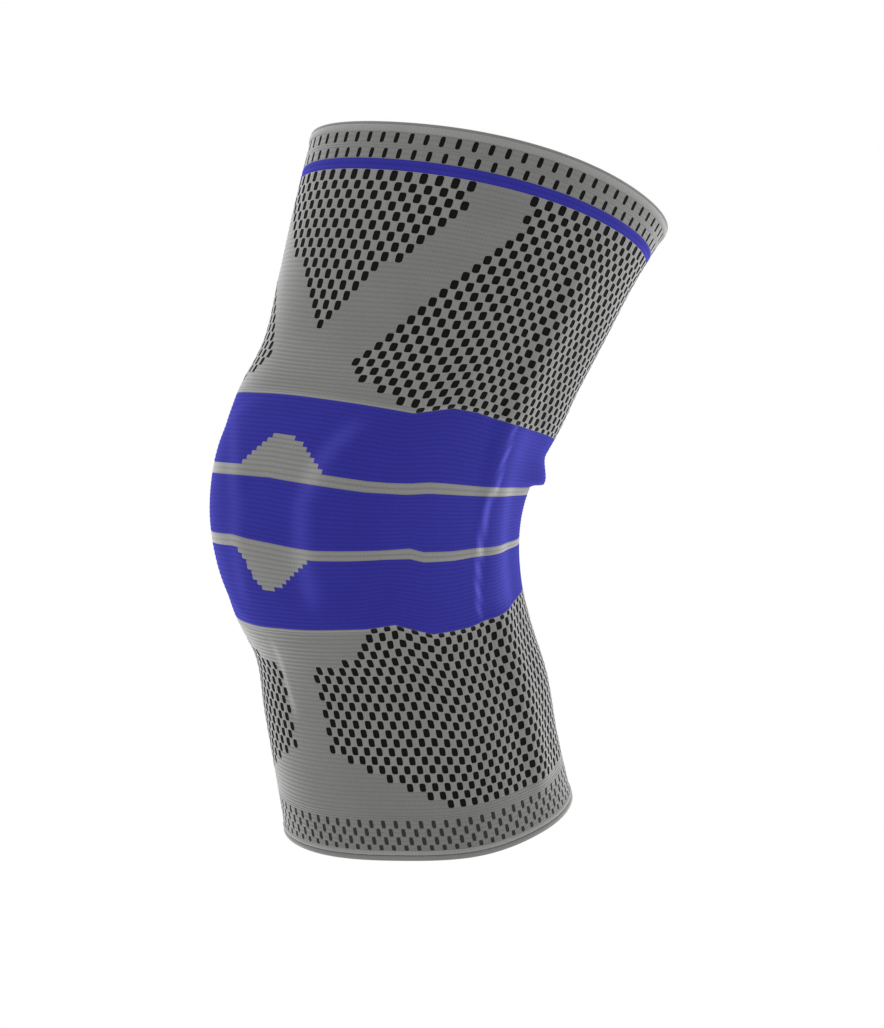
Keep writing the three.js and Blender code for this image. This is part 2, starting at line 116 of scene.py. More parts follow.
# Charts of the vented panels, a number for each row of cells: how many columns from the pattern's
# centre column the row's dotted cells end (front) or begin (back, calf)
FRONT_VENT_FIRST_ROW = 9
FRONT_VENT = [0, 1, 2, 3, 4, 5, 6, 9, 10, 11, 12, 13, 14, 15, 14, 15]
BACK_VENT = [19, 16, 13, 10, 9, 8, 9, 10, 11, 12, 13, 14, 15, 16, 17, 18, 19, 20, 21, 22, 23, 24,
             23, 24, 23]
CALF_VENT = [16, 15, 14, 13, 10, 5, 4, 5, 4, 5, 4, 5, 4, 5, 4, 7, 10, 13, 16, 19, 22]
THIGH_CENTRE, CALF_CENTRE = -1, -2

# Lines of painted highlight, as (along, angle): the lit crest of a stay, the band of side light on
# the stay's far slope, and the lit edges of the pad and the shin
STAY_CREST_HIGHLIGHT = [(-40, 82.5), (-12, 84), (4, 85.5), (13, 88), (39, 90.5)]
STAY_SIDE_HIGHLIGHT = [(-40, 97), (39, 103)]
PAD_EDGE_HIGHLIGHT = [(-28, 18), (-9, 17), (3, 17), (16, 21.5), (30, 30)]
SHIN_EDGE_HIGHLIGHT = [(-77, -11), (-70, -12.2), (-62, -12.6), (-54, -11.4), (-46, -10)]
# Each line with how much lighter it is, its width in degrees, and whether it is on both sides. Its
# ends fade within LINE_END of its first and last points.
HIGHLIGHT_LINES = [(STAY_CREST_HIGHLIGHT, 1.1, 0.9, True), (STAY_SIDE_HIGHLIGHT, 0.38, 11, True),
                 (PAD_EDGE_HIGHLIGHT, 0.28, 4, True), (SHIN_EDGE_HIGHLIGHT, 0.65, 1.6, False)]
LINE_END = 6

# Light line painted into the plain knit's colour where it meets the knee band: how much lighter, how
# wide, and how far from the seam it starts
SEAM_LIGHT, SEAM_LIGHT_WIDTH, SEAM_CLEAR = 0.3, 1.3, 0.05

# Relief of the knit, and powers that round its ribs and puffs
RIB_DEPTH, RIB_ROUND = 0.09, 0.8
PUFF_HEIGHT, PUFF_ROUND = 0.20, 0.7
# A sunk spot of yarn: how deep a dot and a dash are, the height of the lip, the size of the floor
# and of its crowned middle as shares of the spot, and the crown's height
DOT_DEPTH, DASH_DEPTH = 0.30, 0.22
SPOT_LIP, SPOT_FLOOR, SPOT_MIDDLE, SPOT_CROWN = 0.02, 0.9, 0.45, 0.12


def smooth(x, low, high):
    """0 below low and 1 above high, with an S-shaped rise between them."""
    t = np.clip((x - low) / (high - low), 0, 1)
    return t * t * (3 - 2 * t)


def on_curve(x, xs, ys):
    """Smooth curve through the points (xs, ys)."""
    slopes = np.empty(len(xs))
    slopes[1:-1] = (ys[2:] - ys[:-2]) / (xs[2:] - xs[:-2])
    slopes[0] = (ys[1] - ys[0]) / (xs[1] - xs[0])
    slopes[-1] = (ys[-1] - ys[-2]) / (xs[-1] - xs[-2])
    i = np.clip(np.searchsorted(xs, x, side="right") - 1, 0, len(xs) - 2)
    span = xs[i + 1] - xs[i]
    t = (x - xs[i]) / span
    return ((2 * t**3 - 3 * t**2 + 1) * ys[i] + (t**3 - 2 * t**2 + t) * span * slopes[i]
            + (3 * t**2 - 2 * t**3) * ys[i + 1] + (t**3 - t**2) * span * slopes[i + 1])


def place_of(along):
    """Share of the thigh's (+) or the calf's (-) length."""
    return np.where(along > 0, along / THIGH_LENGTH, along / CALF_LENGTH)


def wrapped(angle):
    """The same angle between -180 and 180 degrees."""
    return (angle + 180) % 360 - 180


def middle_line(along):
    """The leg's middle line: straight, with an even bend across the knee."""
    bent = np.clip(along, -BEND_LENGTH / 2, BEND_LENGTH / 2)
    rate = (THIGH_LEAN + CALF_LEAN) / BEND_LENGTH
    start = (THIGH_LEAN - CALF_LEAN) / 2
    end = start + rate * bent
    straight = along - bent
    y = (np.cos(start) - np.cos(end)) / rate + straight * np.sin(end)
    z = (np.sin(end) - np.sin(start)) / rate + straight * np.cos(end)
    return y, z


def leg_surface(angle, along):
    """Point of the plain outer wall, without its raised forms, in millimetres."""
    turn = np.radians(angle)
    share = place_of(along)
    sag = CALF_SAG * on_curve(wrapped(angle), SAG_WAVE[:, 0], SAG_WAVE[:, 1])
    bow = RIM_BOW * np.clip(share, 0, None) ** 3 * np.sin(turn) ** 2
    bowed = along + bow - sag * smooth(-share, 0, SAG_WHOLE)
    place = place_of(bowed)
    width, front, back, tilt, corner = (
        on_curve(place, SECTIONS[:, 0], SECTIONS[:, k]) for k in range(1, 6))
    tilt = tilt * np.where(tilt > 0, THIGH_LEAN, CALF_LEAN)
    fuller = 1 + corner * np.sin(2 * turn) ** 2
    reach = np.where(np.cos(turn) > 0, FRONT_REACH * front, BACK_REACH * back)
    forward = reach * np.cos(turn) * fuller
    y, z = middle_line(bowed)
    return np.stack([HALF_WIDTH * width * np.sin(turn) * fuller,
                     y - forward * np.cos(tilt), z + forward * np.sin(tilt)], -1)


def outward(angle, along):
    """Unit normal of the wall."""
    step = 0.5
    across = leg_surface(angle + step, along) - leg_surface(angle - step, along)
    up = leg_surface(angle, along + step) - leg_surface(angle, along - step)
    normal = np.cross(across, up)
    return normal / np.linalg.norm(normal, axis=-1, keepdims=True)


def wave(table, size):
    """Height of a seam by angle, with a table of shares of its size."""
    angles, shares = np.array(table, float).T
    return lambda angle: size * np.interp(wrapped(angle), angles, shares)


def wedge(table, height):
    """Height of a wedge by angle, 0 outside its table."""
    angles, shares = np.array(table, float).T
    return lambda angle: height * np.interp(wrapped(angle), angles, shares, left=0, right=0)


band_top = wave(BAND_TOP_WAVE, BAND_RISE)
band_bottom = wave(BAND_BOTTOM_WAVE, -BAND_DROP)
upper_stripe_bottom = wave(UPPER_STRIPE_WAVE, UPPER_STRIPE_RISE)
lower_stripe_top = wave(LOWER_STRIPE_WAVE, -LOWER_STRIPE_DROP)
upper_wedge = wedge(UPPER_WEDGE, UPPER_WEDGE_HEIGHT)
lower_wedge = wedge(LOWER_WEDGE, LOWER_WEDGE_HEIGHT)


def upper_stripe_top(angle):
    return upper_stripe_bottom(angle) + STRIPE_WIDTH + upper_wedge(angle)


def lower_stripe_bottom(angle):
    return lower_stripe_top(angle) - STRIPE_WIDTH - lower_wedge(angle)


def level(height):
    """A seam that runs level at this height."""
    return lambda angle: np.full_like(angle, height)


def fold(angle, along):
    """How far the fold behind the knee stands out."""
    behind = smooth(np.abs(wrapped(angle)), FOLD_START, FOLD_WHOLE)
    t = (along - upper_stripe_top(angle)) / FOLD_SPAN
    return FOLD_HEIGHT * behind * smooth(t, 0, FOLD_SWELL) * (1 - smooth(t, FOLD_FALL, 1))


def stay(angle, along):
    """How far the knit over a stay stands out."""
    centre = on_curve(place_of(along), STAY_ROUTE[:, 0], STAY_ROUTE[:, 1])
    behind = np.radians(np.abs(wrapped(angle)) - centre) * HALF_WIDTH
    across = smooth(behind, -STAY_WIDTH / 2, STAY_EDGE - STAY_WIDTH / 2)
    across = across * (1 - smooth(behind, 0, STAY_FADE))
    top = 1 - smooth(along, TOP_STRIPE_BOTTOM - 2 * STAY_WIDTH, TOP_STRIPE_BOTTOM)
    bottom = smooth(along, BOTTOM_CUFF_TOP - STAY_WIDTH / 2, BOTTOM_CUFF_TOP + STAY_WIDTH / 2)
    return STAY_HEIGHT * across * top * bottom


def pad(angle, along):
    """How far the knit over the pad stands out."""
    radius = np.hypot(np.radians(wrapped(angle)) * FRONT_REACH, along * PAD_SQUASH)
    outer = 1 - smooth(radius, PAD_OUTER - PAD_EDGE, PAD_OUTER + PAD_EDGE)
    return PAD_HEIGHT * outer * smooth(radius, PAD_INNER - PAD_EDGE, PAD_INNER + PAD_EDGE)


def near_line(angle, along, line, width):
    """1 on a line of (along, angle) points, fading to 0 across its width and past its ends."""
    places, angles = np.array(line, float).T
    middle = np.interp(along, places, angles)
    begun = smooth(along, places[0] - LINE_END, places[0] + LINE_END)
    ended = smooth(along, places[-1] - LINE_END, places[-1] + LINE_END)
    return begun * (1 - ended) * np.exp(-((wrapped(angle) - middle) / width) ** 2)


def painted_highlight(angle, along):
    """How much painted highlight lightens the knit: along a stay's crest and the side light beside
    it, along the pad's and the shin's edges, and in a painted light line beside the knee band's
    seams.
    """
    mirrored = np.abs(wrapped(angle))
    light = sum(amount * near_line(mirrored if both else angle, along, line, width)
                for line, amount, width, both in HIGHLIGHT_LINES)
    beside = np.maximum(along - band_top(angle), band_bottom(angle) - along)
    seam = (beside > SEAM_CLEAR) * np.exp(-(beside / SEAM_LIGHT_WIDTH) ** 2)
    return light + SEAM_LIGHT * seam


def wall_points(angle, along, depth, raised):
    """Points in metres at a depth outside (+) or inside (-) the outer face, where raised is 1 on the
    outer side."""
    extra = fold(angle, along) + raised * (stay(angle, along) + pad(angle, along)) + depth
    return (leg_surface(angle, along) + outward(angle, along) * extra[..., None]) * MM


# Turn round the leg, spread evenly by the cloth's own width, as knitted columns are. The table runs
# a little past both rims.
RIM_MARGIN = 2
GIRTH_LEVELS = np.linspace(-CALF_LENGTH - RIM_MARGIN, THIGH_LENGTH + RIM_MARGIN, 100)
GIRTH_TURNS = np.linspace(0, 1, 361)


def girth_table():
    """Angle at each of GIRTH_TURNS of the way round, for each of GIRTH_LEVELS."""
    angles = 360 * GIRTH_TURNS
    rows = []
    for along in GIRTH_LEVELS:
        ring = leg_surface(angles, np.full_like(angles, along))
        steps = np.linalg.norm(np.diff(ring, axis=0), axis=1)
        way = np.concatenate([[0], np.cumsum(steps)])
        rows.append(np.interp(GIRTH_TURNS, way / way[-1], angles))
    return np.array(rows)


GIRTH = girth_table()


def angle_at(turn, along):
    """Angle at a turn round the leg, read from the girth table."""
    whole = np.floor(turn)
    x = (turn - whole) * (len(GIRTH_TURNS) - 1)
    y = (along - GIRTH_LEVELS[0]) / (GIRTH_LEVELS[1] - GIRTH_LEVELS[0])
    i = np.clip(x.astype(int), 0, len(GIRTH_TURNS) - 2)
    j = np.clip(np.floor(y).astype(int), 0, len(GIRTH_LEVELS) - 2)
    fx, fy = x - i, np.clip(y - j, 0, 1)
    low = GIRTH[j, i] * (1 - fx) + GIRTH[j, i + 1] * fx
    high = GIRTH[j + 1, i] * (1 - fx) + GIRTH[j + 1, i + 1] * fx
    return low * (1 - fy) + high * fy + 360 * whole


# t * (1 - t)**2 times CROWD_PEAK peaks at 1, and the power CROWD_NARROW keeps crowding to the front
CROWD_PEAK, CROWD_NARROW = 27 / 4, 4


class Zone:
    """A ring of cells between two seams. u counts columns round, and v rows upward. heights are the
    rows' relative heights. lower_at and upper_at are the heights at which a column's angle is taken
    for reading the seams. crowd draws the rows down in front, and spread, as (amount, edge, reach),
    widens the front columns near the edge at share 0 or 1 of the height."""

    def __init__(self, columns, lower, upper, heights, shift=0.0, lower_at=0.0, upper_at=0.0,
                 crowd=0.0, spread=None):
        self.columns, self.shift = columns, shift
        self.lower, self.upper = lower, upper
        self.lower_at, self.upper_at = lower_at, upper_at
        ends = np.concatenate([[0], np.cumsum(heights)])
        self.shares = ends / ends[-1]
        self.rows = len(heights)
        self.crowd, self.spread = crowd, spread

    def place(self, u, v):
        """Angle and place along the leg of points given in columns and rows."""
        turn = (u + self.shift) / self.columns
        t = np.interp(v, np.arange(self.rows + 1), self.shares)
        if self.spread:
            amount, edge, reach = self.spread
            near = np.exp(-((t - edge) / reach) ** 2)
            turn = turn + amount * near * np.sin(2 * np.pi * turn)
        low = self.lower(angle_at(turn, np.full_like(turn, self.lower_at)))
        high = self.upper(angle_at(turn, np.full_like(turn, self.upper_at)))
        if self.crowd:
            ahead = np.clip(np.cos(2 * np.pi * turn), 0, 1) ** CROWD_NARROW
            t = t - self.crowd * ahead * CROWD_PEAK * t * (1 - t) ** 2
        along = low + (high - low) * t
        return angle_at(turn, along), along


THIGH_COLUMNS, KNEE_COLUMNS, CALF_COLUMNS = 136, 180, 144
# Rows of a knee stripe, and their height to that of the rows beside them
STRIPE_ROWS, STRIPE_ROW = 2, 1.15

thigh = Zone(THIGH_COLUMNS, band_top, level(TOP_STRIPE_BOTTOM), [0.55] + [1] * 23 + [1.2],
             shift=-0.7, lower_at=BAND_RISE, upper_at=TOP_STRIPE_BOTTOM, crowd=0.048,
             spread=(0.007, 0, 0.25))
top_stripe = Zone(THIGH_COLUMNS, level(TOP_STRIPE_BOTTOM), level(TOP_CUFF_BOTTOM), [1, 1],
                  shift=-0.7)
top_cuff = Zone(THIGH_COLUMNS, level(TOP_CUFF_BOTTOM), level(TOP_CUFF_TOP), [4.6, 2.0, 4.8],
                shift=-0.95)
knee_upper = Zone(KNEE_COLUMNS, upper_stripe_bottom, band_top,
                  [STRIPE_ROW] * STRIPE_ROWS + [1] * 16,
                  lower_at=UPPER_STRIPE_RISE, upper_at=BAND_RISE)
knee_middle = Zone(KNEE_COLUMNS, lower_stripe_top, upper_stripe_bottom, [1] * 14,
                   lower_at=-LOWER_STRIPE_DROP, upper_at=UPPER_STRIPE_RISE)
knee_lower = Zone(KNEE_COLUMNS, band_bottom, lower_stripe_top,
                  [1] * 17 + [STRIPE_ROW] * STRIPE_ROWS,
                  lower_at=-BAND_DROP, upper_at=-LOWER_STRIPE_DROP)
calf = Zone(CALF_COLUMNS, level(BOTTOM_CUFF_TOP), band_bottom, [0.75] + [1] * 20 + [0.55],
            shift=-0.16, lower_at=BOTTOM_CUFF_TOP, upper_at=-BAND_DROP,
            spread=(0.011, 1, 0.12))
bottom_cuff = Zone(CALF_COLUMNS, level(BOTTOM_CUFF_BOTTOM), level(BOTTOM_CUFF_TOP),
                   [2.5, 3.7, 3.7, 3.7, 2.0], shift=-0.5)


def rib_profile(b, ribs, depth):
    """Height at b up a cell: -depth in the grooves, and depth on the ribs."""
    return depth * (2 * np.abs(np.sin(np.pi * ribs * b)) ** RIB_ROUND - 1)


class Cell:
    """A kind of cell, in facets across and up: points (a, b, depth, layer), where a and b run from 0
    to 1 across and up it, and faces (slot, corners). edge_depth gives the depth of its border by b,
    and back is the inner face's material."""

    def __init__(self, across, up, edge_depth, slots, back):
        self.across, self.up = across, up
        self.edge_depth = edge_depth
        self.slots, self.back = slots, back
        self.points, self.faces = [], []
        self.index = {}

    def point(self, a, b, depth, layer=0):
        """Index of a point, which is added if it is new."""
        key = (round(a, 5), round(b, 5), layer)
        if key not in self.index:
            self.index[key] = len(self.points)
            self.points.append((a, b, depth, layer))
        return self.index[key]

    def border(self):
        """Border points counter-clockwise from the lower left corner."""
        ring = [(i / self.across, 0.0) for i in range(self.across)]
        ring += [(1.0, j / self.up) for j in range(self.up)]
        ring += [(1 - i / self.across, 1.0) for i in range(self.across)]
        ring += [(0.0, 1 - j / self.up) for j in range(self.up)]
        return ring


def plain_cell(across, up, ribs, depth, slot, back, puff=0.0):
    """A cell with level ribs, or a puff, in one yarn."""
    cell = Cell(across, up, lambda b: rib_profile(b, ribs, depth), [slot], back)
    for j in range(up):
        for i in range(across):
            corners = []
            for x, y in ((i, j), (i + 1, j), (i + 1, j + 1), (i, j + 1)):
                a, b = x / across, y / up
                crown = (math.sin(math.pi * a) * math.sin(math.pi * b)) ** PUFF_ROUND
                corners.append(cell.point(a, b, cell.edge_depth(b) + puff * crown))
            cell.faces.append((0, corners))
    return cell


def spot_cell(across, up, ribs, depth, slots, back, half_width, half_height, sink, power):
    """A cell with a sunk spot of dark yarn, a rounded rectangle of the given half sizes. A higher
    power squares its corners."""
    cell = Cell(across, up, lambda b: rib_profile(b, ribs, depth), slots, back)
    border = cell.border()
    outer = [cell.point(a, b, cell.edge_depth(b)) for a, b in border]
    rims = []
    for layer, shrink, height in ((1, 1.0, SPOT_LIP), (2, SPOT_FLOOR, -sink),
                                  (3, SPOT_MIDDLE, SPOT_CROWN - sink)):
        ring = []
        for a, b in border:
            x, y = 2 * a - 1, 2 * b - 1
            size = (abs(x) ** power + abs(y) ** power) ** (-1 / power)
            x, y = x * size * shrink, y * size * shrink
            ring.append(cell.point(0.5 + half_width * x, 0.5 + half_height * y, height, layer))
        rims.append(ring)
    count = len(border)
    for slot, near, far in ((0, outer, rims[0]), (1, rims[0], rims[1]), (1, rims[1], rims[2])):
        for i in range(count):
            j = (i + 1) % count
            cell.faces.append((slot, [near[i], near[j], far[j], far[i]]))
    cell.faces.append((1, rims[2]))
    return cell


# Behind a dot lies the grey yarn, and behind a puff the black one
DOT = spot_cell(4, 4, ribs=0, depth=0, slots=["vent", "dot"], back="vent_back",
                half_width=0.495, half_height=0.475, sink=DOT_DEPTH, power=4.5)
PUFF = plain_cell(4, 4, ribs=0, depth=0, slot="vent", back="dot_back", puff=PUFF_HEIGHT)
PLAIN = plain_cell(2, 8, ribs=2, depth=RIB_DEPTH, slot="plain", back="plain_back")
STRIPE_RIB = plain_cell(1, 4, ribs=1, depth=RIB_DEPTH, slot="stripe", back="plain_back")
BLUE_RIB = plain_cell(1, 4, ribs=1, depth=RIB_DEPTH, slot="blue", back="blue_back")
TOP_DASH = spot_cell(2, 8, ribs=2, depth=RIB_DEPTH, slots=["plain", "dot"], back="plain_back",
                     half_width=0.31, half_height=0.48, sink=DASH_DEPTH, power=4.0)
LOW_DASH = spot_cell(2, 8, ribs=2, depth=RIB_DEPTH, slots=["plain", "dash"], back="plain_back",
                     half_width=0.33, half_height=0.49, sink=DASH_DEPTH, power=4.0)

# Edges sharper than this are shaded as edges
SHARP = math.radians(50)


def make_mesh(name, points, faces, uvs, slots, materials, light):
    """Piece from points in metres. faces, uvs and slots hold an array for each size of face, and
    light is each point's painted highlight."""
    mesh = bpy.data.meshes.new(name)
    corner_count = sum(group.size for group in faces)
    face_count = sum(len(group) for group in faces)
    mesh.vertices.add(len(points))
    mesh.vertices.foreach_set("co", points.astype(np.float32).ravel())
    mesh.loops.add(corner_count)
    corners = np.concatenate([group.ravel() for group in faces])
    mesh.loops.foreach_set("vertex_index", corners.astype(np.int32))
    sizes = np.concatenate([np.full(len(g), g.shape[1]) for g in faces])
    starts = np.concatenate([[0], np.cumsum(sizes)[:-1]])
    mesh.polygons.add(face_count)
    mesh.polygons.foreach_set("loop_start", starts.astype(np.int32))
    mesh.polygons.foreach_set("material_index", np.concatenate(slots).astype(np.int32))
    layer = mesh.uv_layers.new(name="knit")
    mesh.update(calc_edges=True)
    flat = np.concatenate([group.reshape(-1, 2) for group in uvs])
    layer.data.foreach_set("uv", flat.astype(np.float32).ravel())
    mesh.polygons.foreach_set("use_smooth", np.ones(face_count, bool))
    # Each point's painted highlight, by which the materials lighten the colour
    highlight_attribute = mesh.attributes.new("painted_highlight", "FLOAT", "POINT")
    highlight_attribute.data.foreach_set("value", light.astype(np.float32))
    for material in materials:
        mesh.materials.append(material)
    mesh.validate()
    mesh.set_sharp_from_angle(angle=SHARP)
    piece = bpy.data.objects.new(name, mesh)
    bpy.context.scene.collection.objects.link(piece)
    return piece


# Points of neighbouring cells are one point where their places agree to 1 / KEY of a cell, on one
# of up to LAYERS layers
KEY, LAYERS, INNER_LAYER = 10000, 16, 9
# Stitch columns round the leg
WALES = 280


def knit_piece(name, zone, cells, inner_rows, ribs):
    """One closed piece of knit. cells maps (column, row) to a Cell, inner_rows is how many facets
    the inner face has up a row, and ribs is how many ribs a row has."""
    names = sorted({s for cell in cells.values() for s in cell.slots + [cell.back]})
    slot_of = {s: i for i, s in enumerate(names)}
    by_kind = {}
    for spot, cell in cells.items():
        by_kind.setdefault(id(cell), (cell, []))[1].append(spot)
    verts, corner_sets = [], {}

    def add_faces(keys, uvs, corners, slot):
        """Add the faces, given by their corners among a cell's points, of each cell."""
        size = corners.shape[1]
        corner_sets.setdefault(size, []).append(
            (keys[:, corners].reshape(-1, size, 3), uvs[:, corners].reshape(-1, size, 2),
             np.full(keys.shape[0] * corners.shape[0], slot_of[slot])))

    def keyed(spots, points):
        """Whole-number keys (column, row, layer) and unwrapped (u, v) of each cell's points."""
        u = spots[:, None, 0] + points[None, :, 0]
        v = spots[:, None, 1] + points[None, :, 1]
        ku = np.round(u * KEY).astype(np.int64) % (zone.columns * KEY)
        kv = np.round(v * KEY).astype(np.int64)
        layer = np.broadcast_to(points[None, :, 3], u.shape).astype(np.int64)
        depth = np.broadcast_to(points[None, :, 2], u.shape)
        verts.append((ku.ravel(), kv.ravel(), layer.ravel(), depth.ravel()))
        return np.stack([ku, kv, layer], -1), np.stack([u, v], -1)

    def packed(ku, kv, layer):
        """One whole number for each key."""
        return (ku * (zone.rows + 2) * KEY + kv) * LAYERS + layer

    for cell, spots in by_kind.values():
        spots = np.array(spots)
        points = np.array(cell.points)
        keys, uvs = keyed(spots, points)
        for slot_number, slot_name in enumerate(cell.slots):
            for size in {len(f[1]) for f in cell.faces if f[0] == slot_number}:
                corners = np.array([f[1] for f in cell.faces
                                    if f[0] == slot_number and len(f[1]) == size])
                add_faces(keys, uvs, corners, slot_name)
        rows = inner_rows
        inner = np.array([(a, j / rows, -WALL, INNER_LAYER)
                          for j in range(rows + 1) for a in (0.0, 1.0)])
        keys, uvs = keyed(spots, inner)
        corners = np.array([(2 * j, 2 * j + 2, 2 * j + 3, 2 * j + 1) for j in range(rows)])
        add_faces(keys, uvs, corners, cell.back)
        columns, up, across = zone.columns, cell.up, cell.across
        for side, step in (("right", (1, 0)), ("left", (-1, 0)),
                           ("top", (0, 1)), ("bottom", (0, -1))):
            open_spots = np.array([s for s in spots.tolist()
                                   if ((s[0] + step[0]) % columns, s[1] + step[1]) not in cells])
            if not len(open_spots):
                continue
            if side in ("right", "left"):
                a = 1.0 if side == "right" else 0.0
                face_out = [(a, j / up, cell.edge_depth(j / up), 0) for j in range(up + 1)]
                face_in = [(a, j / rows, -WALL, INNER_LAYER) for j in range(rows + 1)]
                loop = face_in + face_out[::-1] if side == "right" else face_out + face_in[::-1]
            else:
                b = 1.0 if side == "top" else 0.0
                face_out = [(i / across, b, cell.edge_depth(b), 0) for i in range(across + 1)]
                face_in = [(a, b, -WALL, INNER_LAYER) for a in (0.0, 1.0)]
                loop = face_out + face_in[::-1] if side == "top" else face_in + face_out[::-1]
            keys, uvs = keyed(open_spots, np.array(loop))
            add_faces(keys, uvs, np.arange(len(loop))[None], cell.back)

    ku, kv, layer, depth = (np.concatenate(c) for c in zip(*verts))
    unique, first = np.unique(packed(ku, kv, layer), return_index=True)
    u, v = ku[first] / KEY, kv[first] / KEY
    angle, along = zone.place(u, v)
    raised = (layer[first] != INNER_LAYER).astype(float)
    points = wall_points(angle, along, depth[first], raised)
    faces, uvs, slots = [], [], []
    for size, groups in corner_sets.items():
        keys = np.concatenate([g[0] for g in groups])
        faces.append(np.searchsorted(unique, packed(keys[..., 0], keys[..., 1], keys[..., 2])))
        flat = np.concatenate([g[1] for g in groups])
        uvs.append(flat * (WALES / zone.columns, ribs))
        slots.append(np.concatenate([g[2] for g in groups]))
    return make_mesh(name, points, faces, uvs, slots, [MATERIALS[s] for s in names],
                     painted_highlight(angle, along))


# Facets round a hem
HEM_COLUMNS = 144


def hem_ring(name, seam, toward, profile, rim_from):
    """A rolled hem swept round the leg, up (1) or down (-1) from its seam. The profile's rows are
    (way from the seam, depth), and the rim's darker grey, painted shade at the edge, starts at the
    way rim_from."""
    columns = HEM_COLUMNS
    rows = np.array(profile)
    turns = np.arange(columns) / columns
    turn, way = np.meshgrid(turns, rows[:, 0], indexing="ij")
    depth = np.broadcast_to(rows[:, 1], turn.shape)
    along = seam + toward * way
    angle = angle_at(turn, along)
    points = wall_points(angle, along, depth, (depth > -WALL / 2).astype(float)).reshape(-1, 3)
    count = len(rows)
    i, j = np.meshgrid(np.arange(columns), np.arange(count), indexing="ij")
    i2, j2 = (i + 1) % columns, (j + 1) % count
    quads = np.stack([i * count + j, i2 * count + j, i2 * count + j2, i * count + j2], -1)
    around = np.cumsum(np.linalg.norm(np.diff(rows, axis=0), axis=1))
    around = np.concatenate([[0], around, [around[-1] + WALL]])
    u = np.stack([i, i + 1, i + 1, i], -1) / columns * WALES
    v = np.stack([around[j], around[j], around[j + 1], around[j + 1]], -1)
    if toward < 0:
        quads, u, v = quads[..., ::-1], u[..., ::-1], v[..., ::-1]
    is_rim = (rows[j, 0] + rows[j2, 0]) / 2 > rim_from
    return make_mesh(name, points, [quads.reshape(-1, 4)], [np.stack([u, v], -1)],
                     [is_rim.astype(int).ravel()], [MATERIALS["hem"], MATERIALS["rim"]],
                     np.zeros(len(points)))


def srgb(*values):
    """Linear colour of sRGB values from 0 to 1, by that standard's formula."""
    linear = (v / 12.92 if v <= 0.04045 else ((v + 0.055) / 1.055) ** 2.4 for v in values)
    return (*linear, 1.0)


class Nodes:
    """Shader nodes of one material, made and linked by short calls."""

    def __init__(self, name):
        self.material = bpy.data.materials.new(name)
        self.material.use_nodes = True
        self.tree = self.material.node_tree
        self.shader = self.tree.nodes["Principled BSDF"]

    def add(self, kind, inputs=None, **settings):
        node = self.tree.nodes.new(kind)
        for name, value in settings.items():
            setattr(node, name, value)
        for name, value in (inputs or {}).items():
            if isinstance(value, bpy.types.NodeSocket):
                self.tree.links.new(value, node.inputs[name])
            else:
                node.inputs[name].default_value = value
        return node

    def math(self, operation, first, second=0.0):
        node = self.add("ShaderNodeMath", operation=operation)
        for socket, value in zip(node.inputs, (first, second)):
            if isinstance(value, bpy.types.NodeSocket):
                self.tree.links.new(value, socket)
            else:
                socket.default_value = value
        return node.outputs[0]

    def ranging(self, low, factor, width):
        """low where the factor is 0, and low + width where it is 1."""
        return self.math("ADD", low, self.math("MULTIPLY", factor, width))

    def link(self, output, name):
        self.tree.links.new(output, self.shader.inputs[name])


# Pale grey added to the colour along the painted highlight lines
HIGHLIGHT_PALE_GREY = 0.035
# Noise of the yarn's fuzz and of the dye's mottle
FUZZ, MOTTLE = {"Scale": 1500.0, "Detail": 3.0}, {"Scale": 45.0, "Detail": 4.0}
# The yarn's shade for the fuzz, the mottle and the stitch columns: the least, and the range
FUZZ_SHADE, MOTTLE_SHADE, WALE_SHADE = (0.86, 0.28), (0.90, 0.20), (0.95, 0.07)
# How far ribs bend the stitch columns into a V, the columns' share in the relief, and a power that
# narrows the grooves' shade
RIB_LEAN, WALE_RELIEF, GROOVE_ROUND = 0.7, 0.6, 0.6


